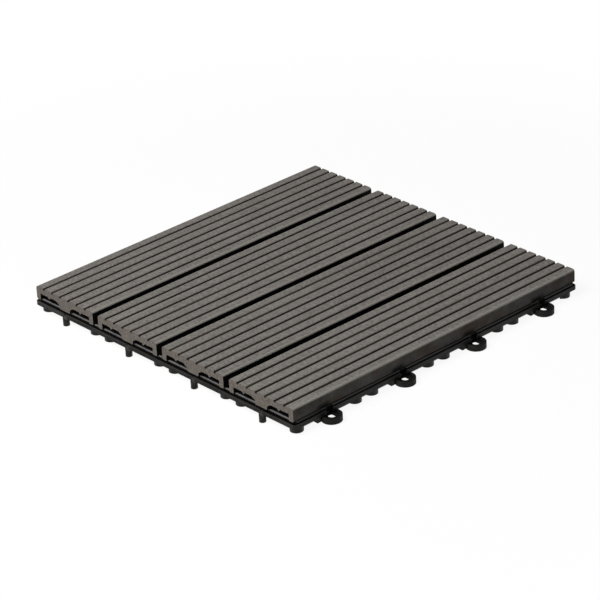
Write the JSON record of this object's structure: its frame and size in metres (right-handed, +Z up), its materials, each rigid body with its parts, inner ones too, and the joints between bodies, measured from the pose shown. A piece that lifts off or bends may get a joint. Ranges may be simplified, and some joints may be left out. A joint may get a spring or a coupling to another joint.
{
  "type": "interlocking deck tile",
  "caption": "Square outdoor deck tile: ribbed wood-plastic boards on a moulded black grid base whose pins drop into the loops of the next tile.",
  "frame": {"origin": "centre of the tile's module, on the ground, at the underside of the middle foot", "axes": "+Z up through the walking face, +Y along the boards, +X across them towards a side with loops"},
  "size_m": [0.3107, 0.3107, 0.022],
  "materials": {
    "board": "brushed wood-plastic composite, grey brown",
    "base": "moulded, fine satin"
  },
  "bodies": {
    "root": {"board_1": "board", "board_2": "board", "board_3": "board", "board_4": "board", "base": "base"}
  },
  "joints": []
}
